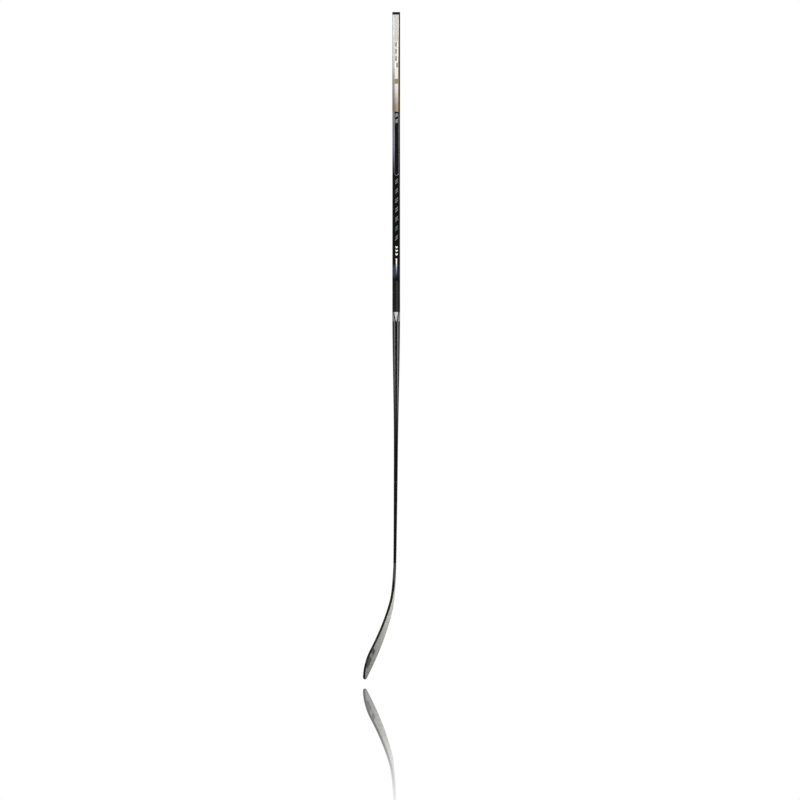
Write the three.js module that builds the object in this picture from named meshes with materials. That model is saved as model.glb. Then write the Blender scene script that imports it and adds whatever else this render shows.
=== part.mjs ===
// Senior, left-shot, one-piece composite ice hockey stick, in millimetres, upright, with +Z up.
// The origin is the middle of the butt end's flat top. The shaft runs straight down from it, with its
// narrow faces towards +Y and -Y. The blade leaves the heel at 45 degrees, down and towards -Y, and curves
// towards -X. A place on the stick is worked out as two numbers: depth, the distance below the butt, and
// forward, the distance from the shaft's axis towards the toe. So y = -forward and z = -depth.
import * as THREE from "three";

// Shaft
const SHAFT_LENGTH = 1524; // butt to the heel's corner, 60 inches
const SHAFT_WIDTH = 20; // of the narrow faces
const SHAFT_DEPTH = 30; // of the broad faces
const CORNER_RADIUS = 4.6;
const WALL = 1.6;
const GAP = 0.3; // between two pieces that touch

// Tapered, faceted lower shaft
const TAPER_TOP = 760;
const TAPER_BOTTOM = 1150;
const TAPER_WIDTH = 10.4;
const FACET_TOP = 768;
const FACET_FULL = 792;
const FACET_FADE = 940;
const FACET_END = 1120;
const TAPER_STEP = 32;
const FACET_CORNER = [
  [1, 0.5],
  [0.86, 0.72],
  [0.58, 0.89],
  [0.22, 1],
]; // one corner of the faceted section, as shares of its half width and half depth

// Hosel and the fused joint in it
const JOINT_DEPTH = 1205;
const HOSEL_WIDTH = 7.3;
const LEAN_TOP = 850;
const LEAN_BOTTOM = 1440;
const LEAN = 3.9; // towards the forehand side
const TENON_TOP = JOINT_DEPTH - 55;
const TENON_SHOULDER = 1396;
const TENON_NECK = 1416;
const TENON_NARROWING = 2.8;
const TENON_BOTTOM = 1450;

// End cap
const CAP_HEIGHT = 6.4;
const CAP_CHAMFER = 1.2;
const CAP_PLATE = 4;
const PLUG_LENGTH = 28;
const PLUG_WALL = 1.4;
const RIB_COUNT = 3;
const RIB_HEIGHT = 2;
const RIB_PITCH = 8;
const RIB_RELIEF = 0.7;

// Blade
const BLADE_TOP = 1420; // depth where its moulding starts, on the hosel
const BLADE_LENGTH = 276.5; // heel's corner to toe, along the sole
const HEEL_HEIGHT = 46;
const TOE_HEIGHT = 69;
const HEEL_RADIUS = 36;
const FILLET_RADIUS = 60;
const TOE_TOP_RADIUS = 47;
const ROCKER = 7.7; // how far the sole rises by the toe
const CURVE_START = -61;
const CURVE_DEPTH = 75.7;
const CURVE_POWER = 1.53;
const LOFT = -0.014; // how far the toe's face opens, in radians; below 0 it closes
const HEEL_THICKNESS = 5.6;
const TOE_THICKNESS = 5.2;
const THINNING_END = 40;
const SKIN = 0.9;
const RAIL_WIDTH = 4;
const RAIL_CHAMFER = 1.2;
const BRIDGE = 3;
const CORE_INSET = RAIL_WIDTH + GAP;
const TOE_TRIM = 0.6; // off the inner pieces' round toe, which ends in a short flat

// Where the pieces inside the blade meet, as distances along the sole from the heel's corner
const HEEL_INSERT_END = 28;
const DAMPER_END = 36;
const TOE_INSERT_START = BLADE_LENGTH - 50;

// The path along the blade: down the hosel, round the heel in a fan, and along the sole to the toe
const FAN_TOP = TENON_BOTTOM;
const FAN_PATH = 60;
const FAN_END = 18;
const FAN_STEPS = 12;
const PATH_STEP = 10;
const TOE_STEPS = 6;

const HALF_DEPTH = SHAFT_DEPTH / 2;
const DIAGONAL = Math.SQRT1_2;
const EDGE_SLOPE = (TOE_HEIGHT - HEEL_HEIGHT) / BLADE_LENGTH;
const EDGE_ANGLE = Math.atan(EDGE_SLOPE);
const TOE_TOP_START = BLADE_LENGTH - TOE_TOP_RADIUS;
const TOE_TOP_UP = edgeHeight(TOE_TOP_START) - TOE_TOP_RADIUS / Math.cos(EDGE_ANGLE);
const TOE_SOLE_RADIUS = TOE_TOP_UP - GAP;
const TOE_SOLE_START = BLADE_LENGTH - TOE_SOLE_RADIUS;
const INNER_END = BLADE_LENGTH - CORE_INSET - TOE_TRIM;

function edgeHeight(along) {
  return HEEL_HEIGHT + EDGE_SLOPE * along;
}

function mix(a, b, share) {
  return a + (b - a) * share;
}

function stops(first, last, step) {
  const count = Math.max(1, Math.ceil(Math.abs(last - first) / step));
  return Array.from({ length: count + 1 }, (_, i) => mix(first, last, i / count));
}

// Half the shaft's width at a depth: constant, then a smooth taper, then a slow one down the hosel.
function halfWidth(depth) {
  const upper = THREE.MathUtils.smoothstep(depth, TAPER_TOP, TAPER_BOTTOM);
  const lower = THREE.MathUtils.clamp((depth - TAPER_BOTTOM) / (BLADE_TOP - TAPER_BOTTOM), 0, 1);
  return mix(mix(SHAFT_WIDTH, TAPER_WIDTH, upper), HOSEL_WIDTH, lower) / 2;
}

// How faceted the section is: 0 is a rounded rectangle and 1 is fully faceted.
function facetShare(depth) {
  const rise = THREE.MathUtils.clamp((depth - FACET_TOP) / (FACET_FULL - FACET_TOP), 0, 1);
  return rise * (1 - THREE.MathUtils.smoothstep(depth, FACET_FADE, FACET_END));
}

// Distances along the blade from the heel's corner, and up from the sole, of a place on the stick.
function toBlade(place) {
  const forward = place.x + HALF_DEPTH;
  const depth = place.y - SHAFT_LENGTH;
  return { along: (forward + depth) * DIAGONAL, up: (forward - depth) * DIAGONAL };
}

// The place, as forward and depth, at these distances along and up.
function fromBlade(along, up) {
  return new THREE.Vector2((along + up) * DIAGONAL - HALF_DEPTH, (along - up) * DIAGONAL + SHAFT_LENGTH);
}

// The place once the blade bends up a little towards the toe, which is its rocker.
function rocked(place) {
  const { along, up } = toBlade(place);
  const share = Math.max(0, (along - FAN_END) / (BLADE_LENGTH - FAN_END));
  return fromBlade(along, up + ROCKER * share * share);
}

// X of the stick's middle surface: the hosel's lean, the blade's curve and the open face of its toe.
function middleX(place) {
  const { along, up } = toBlade(place);
  const lean = Math.max(0, (place.y - LEAN_TOP) / (LEAN_BOTTOM - LEAN_TOP));
  const leaning = lean < 1 ? lean * lean : 2 * lean - 1;
  const bend = Math.max(0, (along - CURVE_START) / (BLADE_LENGTH - CURVE_START));
  const open = LOFT * THREE.MathUtils.clamp(along / BLADE_LENGTH, 0, 1);
  return open * (up - edgeHeight(along) / 2) - LEAN * leaning - CURVE_DEPTH * bend ** CURVE_POWER;
}

function bladeThickness(place) {
  const { along } = toBlade(place);
  const hosel = THREE.MathUtils.smoothstep(along, CURVE_START, THINNING_END);
  const blade = THREE.MathUtils.clamp((along - THINNING_END) / (BLADE_LENGTH - THINNING_END), 0, 1);
  return mix(mix(HOSEL_WIDTH, HEEL_THICKNESS, hosel), TOE_THICKNESS, blade);
}

// A point of the blade. side is -1 on the forehand surface and 1 on the backhand one, and cover is how far
// the point lies under that surface.
function bladePoint(flatPlace, side, cover) {
  const place = rocked(flatPlace);
  const slope = (x, y) => middleX(place.clone().add(new THREE.Vector2(x, y)));
  const forwardSlope = slope(0.5, 0) - slope(-0.5, 0);
  const depthSlope = slope(0, 0.5) - slope(0, -0.5);
  const normal = new THREE.Vector3(1, forwardSlope, depthSlope).normalize();
  const offset = side * (bladeThickness(place) / 2 - cover);
  return new THREE.Vector3(middleX(place), -place.x, -place.y).addScaledVector(normal, offset);
}

function signedVolume(points, triangles) {
  let volume = 0;
  for (let i = 0; i < triangles.length; i += 3) {
    const [a, b, c] = [0, 1, 2].map((k) => points[triangles[i + k]]);
    volume += a.dot(b.clone().cross(c)) / 6;
  }
  return volume;
}

// A geometry whose faces point out, whichever way round its triangles were listed.
function solid(points, triangles) {
  if (signedVolume(points, triangles) < 0) {
    triangles.reverse();
  }
  const geometry = new THREE.BufferGeometry().setFromPoints(points);
  geometry.setIndex(triangles);
  geometry.computeVertexNormals();
  return geometry;
}

// A solid skinned over rings of equally many points. The chain of rings closes on itself, or has flat ends.
function skinRings(rings, closed) {
  const count = rings[0].length;
  const triangles = [];
  const steps = closed ? rings.length : rings.length - 1;
  for (let i = 0; i < steps; i += 1) {
    const here = i * count;
    const next = ((i + 1) % rings.length) * count;
    for (let k = 0; k < count; k += 1) {
      const after = (k + 1) % count;
      triangles.push(here + k, here + after, next + after);
      triangles.push(here + k, next + after, next + k);
    }
  }
  if (!closed) {
    const last = (rings.length - 1) * count;
    for (let k = 1; k < count - 1; k += 1) {
      triangles.push(0, k + 1, k);
      triangles.push(last, last + k, last + k + 1);
    }
  }
  return solid(rings.flat(), triangles);
}

// A ring of 16 points round the shaft at a depth, four to a corner, set in from its outer surface.
function shaftRing(depth, inset, narrowing = 0) {
  const halfX = halfWidth(depth) - inset;
  const halfY = HALF_DEPTH - inset - narrowing;
  const radius = Math.min(Math.max(CORNER_RADIUS - inset, 1), 0.8 * halfX);
  const facet = facetShare(depth);
  const corner = FACET_CORNER.map(([shareX, shareY], i) => {
    const angle = ((i / (FACET_CORNER.length - 1)) * Math.PI) / 2;
    const roundX = halfX - radius + radius * Math.cos(angle);
    const roundY = halfY - radius + radius * Math.sin(angle);
    return [mix(roundX, shareX * halfX, facet), mix(roundY, shareY * halfY, facet)];
  });
  const reversed = [...corner].reverse();
  const outline = [
    ...corner,
    ...reversed.map(([x, y]) => [-x, y]),
    ...corner.map(([x, y]) => [-x, -y]),
    ...reversed.map(([x, y]) => [x, -y]),
  ];
  return outline.map(([x, y]) => {
    const middle = middleX(new THREE.Vector2(-y, depth));
    return new THREE.Vector3(middle + x, y, -depth);
  });
}

// A hollow length of the shaft, open at both ends.
function tube(depths) {
  const outer = depths.map((depth) => shaftRing(depth, 0));
  const inner = depths.map((depth) => shaftRing(depth, WALL)).reverse();
  return skinRings([...outer, ...inner], true);
}

function shaftTube() {
  const taper = stops(FACET_FULL, JOINT_DEPTH, TAPER_STEP);
  return tube([CAP_HEIGHT + GAP, TAPER_TOP, FACET_TOP, ...taper]);
}

function hoselSleeve() {
  return tube(stops(JOINT_DEPTH + GAP, BLADE_TOP, TAPER_STEP));
}

function jointTenon() {
  const fit = WALL + GAP;
  const upper = stops(TENON_TOP, TENON_SHOULDER, TAPER_STEP).map((depth) => shaftRing(depth, fit));
  const neck = [TENON_NECK, TENON_BOTTOM].map((depth) => shaftRing(depth, fit, TENON_NARROWING));
  return skinRings([...upper, ...neck], false);
}

// A flanged cap on a hollow plug, which has grip ribs and is open at the bottom.
function endCap() {
  const fit = WALL + GAP;
  const rings = [
    shaftRing(0, CAP_CHAMFER),
    shaftRing(CAP_CHAMFER, 0),
    shaftRing(CAP_HEIGHT, 0),
    shaftRing(CAP_HEIGHT, fit + RIB_RELIEF),
  ];
  for (let i = 0; i < RIB_COUNT; i += 1) {
    const top = CAP_HEIGHT + (i + 0.5) * RIB_PITCH;
    rings.push(shaftRing(top, fit + RIB_RELIEF));
    rings.push(shaftRing(top, fit));
    rings.push(shaftRing(top + RIB_HEIGHT, fit));
    rings.push(shaftRing(top + RIB_HEIGHT, fit + RIB_RELIEF));
  }
  const bottom = CAP_HEIGHT + PLUG_LENGTH;
  rings.push(shaftRing(bottom, fit + RIB_RELIEF));
  rings.push(shaftRing(bottom, fit + RIB_RELIEF + PLUG_WALL));
  rings.push(shaftRing(CAP_PLATE, fit + RIB_RELIEF + PLUG_WALL));
  return skinRings(rings, false);
}

// The fan's front side: the end of the hosel, the fillet and the start of the blade's top edge.
function fanFront(inset) {
  const turn = Math.PI / 4 + EDGE_ANGLE;
  const rise = HEEL_HEIGHT - SHAFT_DEPTH * DIAGONAL * (1 - EDGE_SLOPE);
  const corner = SHAFT_LENGTH - rise / (DIAGONAL * (1 + EDGE_SLOPE));
  const start = corner - FILLET_RADIUS * Math.tan(turn / 2);
  const end = fromBlade(FAN_END, edgeHeight(FAN_END) - inset / Math.cos(EDGE_ANGLE));
  const path = new THREE.Path();
  path.moveTo(HALF_DEPTH - inset, FAN_TOP);
  path.lineTo(HALF_DEPTH - inset, start);
  path.absarc(HALF_DEPTH + FILLET_RADIUS, start, FILLET_RADIUS + inset, Math.PI, Math.PI - turn, true);
  path.lineTo(end.x, end.y);
  return path;
}

// The fan's back side: the end of the hosel, the rounded heel and the start of the sole.
function fanBack(inset) {
  const start = SHAFT_LENGTH - HEEL_RADIUS * Math.tan(Math.PI / 8);
  const end = fromBlade(FAN_END, inset);
  const path = new THREE.Path();
  path.moveTo(inset - HALF_DEPTH, FAN_TOP);
  path.lineTo(inset - HALF_DEPTH, start);
  path.absarc(HEEL_RADIUS - HALF_DEPTH, start, HEEL_RADIUS - inset, Math.PI, (3 * Math.PI) / 4, true);
  path.lineTo(end.x, end.y);
  return path;
}

// Height of the blade's top edge, and of its sole, at a distance along it, set in from the edge.
function topUp(along, inset) {
  const radius = TOE_TOP_RADIUS - inset;
  if (along < TOE_TOP_START - radius * Math.sin(EDGE_ANGLE)) {
    return edgeHeight(along) - inset / Math.cos(EDGE_ANGLE);
  }
  return TOE_TOP_UP + Math.sqrt(Math.max(0, radius ** 2 - (along - TOE_TOP_START) ** 2));
}

function soleUp(along, inset) {
  const radius = TOE_SOLE_RADIUS - inset;
  const past = Math.max(0, along - TOE_SOLE_START);
  return TOE_SOLE_RADIUS - Math.sqrt(Math.max(0, radius ** 2 - past ** 2));
}

// The two ends of a line across the blade, set in from its edges: first the one on the sole or the hosel's
// back, then the one on the top edge or the hosel's front.
function crossing(path, inset) {
  if (path < 0) {
    const depth = FAN_TOP + path;
    return [new THREE.Vector2(inset - HALF_DEPTH, depth), new THREE.Vector2(HALF_DEPTH - inset, depth)];
  }
  if (path < FAN_PATH) {
    return [fanBack(inset).getPointAt(path / FAN_PATH), fanFront(inset).getPointAt(path / FAN_PATH)];
  }
  const along = FAN_END + path - FAN_PATH;
  return [fromBlade(along, soleUp(along, inset)), fromBlade(along, topUp(along, inset))];
}

function pathAt(along) {
  return FAN_PATH + along - FAN_END;
}

// Stops along the blade's path, closer together where the toe is round.
function bladeStops(first, last) {
  const round = pathAt(TOE_TOP_START);
  if (last <= round) {
    return stops(first, last, PATH_STEP);
  }
  const toe = Array.from({ length: TOE_STEPS }, (_, i) => {
    const angle = (((i + 1) / TOE_STEPS) * Math.PI) / 2;
    return mix(round, last, Math.sin(angle));
  });
  return [...stops(first, round, PATH_STEP), ...toe];
}

// A curved slab of the blade between two distances along its path. across gives its two sides as shares of
// the line across the blade, and covers how far its two faces lie under the forehand and backhand surfaces.
function slab({ first, last, across, layers, columns }) {
  const rings = bladeStops(first, last).map((path) => {
    const [back, front] = crossing(path, CORE_INSET);
    const [low, high] = across(back.distanceTo(front));
    const places = Array.from({ length: columns + 1 }, (_, i) => {
      return back.clone().lerp(front, mix(low, high, i / columns));
    });
    const [near, far] = layers;
    const nearRow = places.map((place) => bladePoint(place, near.side, near.cover));
    const farRow = places.map((place) => bladePoint(place, far.side, far.cover));
    return [...nearRow, ...farRow.reverse()];
  });
  return skinRings(rings, false);
}

function skin(side) {
  return slab({
    first: BLADE_TOP + GAP - FAN_TOP,
    last: pathAt(INNER_END),
    across: () => [0, 1],
    layers: [
      { side, cover: 0 },
      { side, cover: SKIN },
    ],
    columns: 6,
  });
}

// A piece between the two skins.
function filling(first, last, across = () => [0, 1], columns = 2) {
  const cover = SKIN + GAP;
  const layers = [
    { side: -1, cover },
    { side: 1, cover },
  ];
  return slab({ first, last, across, layers, columns });
}

function coreBetween(across) {
  return filling(pathAt(DAMPER_END) + GAP, pathAt(TOE_INSERT_START) - GAP, across);
}

// The blade's outline from the hosel along its top edge to the middle of the toe, set in from the edge.
function topLine(inset) {
  const radius = TOE_TOP_RADIUS - inset;
  const fan = fanFront(inset);
  const straight = TOE_TOP_START - radius * Math.sin(EDGE_ANGLE);
  const edge = stops(FAN_END + PATH_STEP, straight, PATH_STEP);
  const toe = stops(Math.PI / 2 + EDGE_ANGLE, 0, Math.PI / 2 / TOE_STEPS);
  return [
    new THREE.Vector2(HALF_DEPTH - inset, BLADE_TOP + GAP),
    ...stops(0, 1, 1 / FAN_STEPS).map((share) => fan.getPointAt(share)),
    ...edge.map((along) => fromBlade(along, topUp(along, inset))),
    ...toe.map((angle) => toePoint(TOE_TOP_START, TOE_TOP_UP, radius, angle)),
  ];
}

// The blade's outline from the hosel along its sole to the middle of the toe, set in from the edge.
function soleLine(inset) {
  const radius = TOE_SOLE_RADIUS - inset;
  const fan = fanBack(inset);
  const edge = stops(FAN_END + PATH_STEP, TOE_SOLE_START, PATH_STEP);
  const toe = stops(-Math.PI / 2, 0, Math.PI / 2 / TOE_STEPS);
  return [
    new THREE.Vector2(inset - HALF_DEPTH, BLADE_TOP + GAP),
    ...stops(0, 1, 1 / FAN_STEPS).map((share) => fan.getPointAt(share)),
    ...edge.map((along) => fromBlade(along, soleUp(along, inset))),
    ...toe.map((angle) => toePoint(TOE_SOLE_START, TOE_SOLE_RADIUS, radius, angle)),
  ];
}

function toePoint(along, up, radius, angle) {
  return fromBlade(along + radius * Math.cos(angle), up + radius * Math.sin(angle));
}

// A rail as thick as the blade, along one of its outlines, with its outer corners chamfered.
function rail(line) {
  const [outer, shoulder, inner] = [0, RAIL_CHAMFER, RAIL_WIDTH].map(line);
  const rings = outer.map((_, i) => [
    bladePoint(inner[i], -1, 0),
    bladePoint(shoulder[i], -1, 0),
    bladePoint(outer[i], -1, RAIL_CHAMFER),
    bladePoint(outer[i], 1, RAIL_CHAMFER),
    bladePoint(shoulder[i], 1, 0),
    bladePoint(inner[i], 1, 0),
  ]);
  return skinRings(rings, false);
}

// The width of the bridge between the cores, and of the room it takes, as shares of a line across the blade.
function bridgeShare(length) {
  return BRIDGE / 2 / length;
}

function bridgeRoom(length) {
  return (BRIDGE / 2 + GAP) / length;
}

function coreBridge() {
  return coreBetween((length) => [0.5 - bridgeShare(length), 0.5 + bridgeShare(length)]);
}

function lowerCore() {
  return coreBetween((length) => [0, 0.5 - bridgeRoom(length)]);
}

function upperCore() {
  return coreBetween((length) => [0.5 + bridgeRoom(length), 1]);
}

function heelInsert() {
  return filling(GAP, pathAt(HEEL_INSERT_END));
}

function dampingStrip() {
  return filling(pathAt(HEEL_INSERT_END) + GAP, pathAt(DAMPER_END));
}

function toeInsert() {
  return filling(pathAt(TOE_INSERT_START), pathAt(INNER_END));
}

const stick = new THREE.Group();

function addPiece(name, geometry, color, roughness, metalness = 0) {
  const mesh = new THREE.Mesh(geometry, new THREE.MeshStandardMaterial({ color, roughness, metalness }));
  mesh.name = name;
  stick.add(mesh);
}

addPiece("end_cap", endCap(), 0x141416, 0.5);
addPiece("shaft_tube", shaftTube(), 0x17171a, 0.25);
addPiece("hosel_sleeve", hoselSleeve(), 0x141416, 0.25);
addPiece("joint_tenon", jointTenon(), 0x2a2a2c, 0.7);
addPiece("forehand_skin", skin(-1), 0xa8a59c, 0.4, 0.2);
addPiece("backhand_skin", skin(1), 0xa8a59c, 0.4, 0.2);
addPiece("top_edge_rail", rail(topLine), 0x1c1817, 0.4);
addPiece("bottom_edge_rail", rail(soleLine), 0x1c1817, 0.4);
addPiece("heel_insert", heelInsert(), 0x3a3a3c, 0.7);
addPiece("damping_strip", dampingStrip(), 0x4a4a50, 0.9);
addPiece("upper_core", upperCore(), 0xd9cfae, 0.95);
addPiece("core_bridge", coreBridge(), 0x1f1f21, 0.6);
addPiece("lower_core", lowerCore(), 0xd9cfae, 0.95);
addPiece("toe_insert", toeInsert(), 0x3a3a3c, 0.7);

export default stick;
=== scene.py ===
import math

import bmesh
import bpy
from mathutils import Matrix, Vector
from mathutils.geometry import convex_hull_2d

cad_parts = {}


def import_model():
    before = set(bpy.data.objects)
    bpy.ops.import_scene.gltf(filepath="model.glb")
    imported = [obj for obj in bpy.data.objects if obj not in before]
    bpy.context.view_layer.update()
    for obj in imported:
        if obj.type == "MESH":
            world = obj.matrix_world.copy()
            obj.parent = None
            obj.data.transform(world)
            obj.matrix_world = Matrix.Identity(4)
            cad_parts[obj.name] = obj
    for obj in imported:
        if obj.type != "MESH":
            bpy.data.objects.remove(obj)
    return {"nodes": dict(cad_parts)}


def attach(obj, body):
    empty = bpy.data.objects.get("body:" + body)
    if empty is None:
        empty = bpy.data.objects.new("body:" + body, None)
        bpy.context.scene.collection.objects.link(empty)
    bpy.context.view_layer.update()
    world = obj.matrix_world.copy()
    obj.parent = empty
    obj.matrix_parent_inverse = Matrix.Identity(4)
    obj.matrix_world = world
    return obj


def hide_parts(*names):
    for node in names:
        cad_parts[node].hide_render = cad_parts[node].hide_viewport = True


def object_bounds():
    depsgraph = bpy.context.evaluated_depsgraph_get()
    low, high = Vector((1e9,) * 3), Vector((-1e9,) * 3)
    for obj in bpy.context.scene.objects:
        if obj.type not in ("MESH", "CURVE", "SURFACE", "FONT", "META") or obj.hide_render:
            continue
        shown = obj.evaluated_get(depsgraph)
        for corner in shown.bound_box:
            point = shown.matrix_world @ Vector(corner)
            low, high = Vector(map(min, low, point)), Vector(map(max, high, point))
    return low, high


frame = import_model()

ROOT = "root"
cad_low, cad_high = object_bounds()
stick_height = cad_high.z - cad_low.z


# ---- Outlines of the CAD tubes ----

def in_order(points):
    """The points of a convex outline, anticlockwise from the -X side."""
    centre = sum(points, Vector((0, 0))) / len(points)
    return sorted(points, key=lambda p: math.atan2(p.y - centre.y, p.x - centre.x))


def tube_outlines(node):
    """A CAD tube's levels from the top down: the depth of each, with its outer and inner outlines."""
    levels = {}
    for vertex in frame["nodes"][node].data.vertices:
        x, y, z = (round(value, 6) for value in vertex.co)
        levels.setdefault(round(-z, 5), set()).add((x, y))
    found = []
    for depth in sorted(levels):
        points = [Vector(place) for place in sorted(levels[depth])]
        hull = set(convex_hull_2d(points))
        outer = [p for i, p in enumerate(points) if i in hull]
        inner = [p for i, p in enumerate(points) if i not in hull]
        found.append((depth, in_order(outer), in_order(inner) if inner else []))
    return found


def outlines_at(outlines, depth):
    """The outer and inner outlines at any depth, between the two nearest levels."""
    for upper, lower in zip(outlines, outlines[1:]):
        if upper[0] <= depth <= lower[0]:
            share = (depth - upper[0]) / (lower[0] - upper[0])
            outer, inner = (
                [a.lerp(b, share) for a, b in zip(upper[kind], lower[kind])] for kind in (1, 2)
            )
            return depth, outer, inner
    raise ValueError(f"no outline at depth {depth}")


def section(outlines, top, bottom):
    """The part of a tube's outlines from one depth to another, both included."""
    between = [one for one in outlines if top < one[0] < bottom]
    return [outlines_at(outlines, top), *between, outlines_at(outlines, bottom)]


shaft_outlines = tube_outlines("shaft_tube")
hosel_outlines = tube_outlines("hosel_sleeve")
cap_outlines = tube_outlines("end_cap")

# Depths and sizes that the CAD part sets
shaft_top, taper_top, facet_top, facet_full = (level[0] for level in shaft_outlines[:4])
shaft_bottom = shaft_outlines[-1][0]
half_width = max(p.x for p in shaft_outlines[0][1])
half_depth = max(p.y for p in shaft_outlines[0][1])


# ---- Mesh building ----

CORNER_CUT = 0.0012  # how far from a corner its curve starts
LONGEST_CUT = 0.45  # the most that a curve takes of a side, as a share of its length
CORNER_STEPS = 4
END_CHAMFER = 0.00025
SHARP = math.radians(38)


def rounded(outline):
    """The outline with each corner replaced by a short curve."""
    smooth = []
    for i, corner in enumerate(outline):
        before, after = outline[i - 1] - corner, outline[(i + 1) % len(outline)] - corner
        start = corner + before * min(LONGEST_CUT, CORNER_CUT / before.length)
        end = corner + after * min(LONGEST_CUT, CORNER_CUT / after.length)
        for step in range(CORNER_STEPS):
            t = step / (CORNER_STEPS - 1)
            smooth.append(start * (1 - t) ** 2 + corner * 2 * t * (1 - t) + end * t**2)
    return smooth


def drawn_in(outline, distance):
    """The outline moved towards its middle by this distance."""
    centre = sum(outline, Vector((0, 0))) / len(outline)
    return [p + (centre - p).normalized() * distance for p in outline]


def bridge(mesh, first, second):
    """Joins two loops of vertices of the same length with a band of faces."""
    for i, vertex in enumerate(first):
        j = (i + 1) % len(first)
        mesh.faces.new((vertex, first[j], second[j], second[i]))


def loop(mesh, outline, depth):
    """The points of an outline as vertices at this depth."""
    return [mesh.verts.new((p.x, p.y, -depth)) for p in outline]


def finished(name, mesh, material, nodes):
    """Turns a bmesh into a piece of the object that rides on the root body in place of CAD nodes."""
    bmesh.ops.recalc_face_normals(mesh, faces=mesh.faces)
    data = bpy.data.meshes.new(name)
    mesh.to_mesh(data)
    mesh.free()
    data.materials.append(material)
    data.shade_smooth()
    data.set_sharp_from_angle(angle=SHARP)
    piece = bpy.data.objects.new(name, data)
    bpy.context.scene.collection.objects.link(piece)
    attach(piece, ROOT)
    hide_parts(*nodes)
    return piece


def tube(name, outlines, material, chamfer_top, chamfer_bottom, nodes):
    """A hollow tube, with a small chamfer round the ends that face a seam."""
    mesh = bmesh.new()
    outer = [(depth, rounded(outline)) for depth, outline, _ in outlines]
    inner = [(depth, rounded(outline)) for depth, _, outline in outlines]
    if chamfer_top:
        depth, outline = outer[0]
        outer[:1] = [(depth, drawn_in(outline, END_CHAMFER)), (depth + END_CHAMFER, outline)]
    if chamfer_bottom:
        depth, outline = outer[-1]
        outer[-1:] = [(depth - END_CHAMFER, outline), (depth, drawn_in(outline, END_CHAMFER))]
    loops = [loop(mesh, outline, depth) for depth, outline in outer + inner[::-1]]
    for first, second in zip(loops, loops[1:] + loops[:1]):
        bridge(mesh, first, second)
    return finished(name, mesh, material, nodes)


# ---- Procedural materials ----

TWILL_REPEAT = 4  # threads in one repeat of the weave
TWILL_OVER = 0.49  # just under half of it, so that two threads in four are on top


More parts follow.
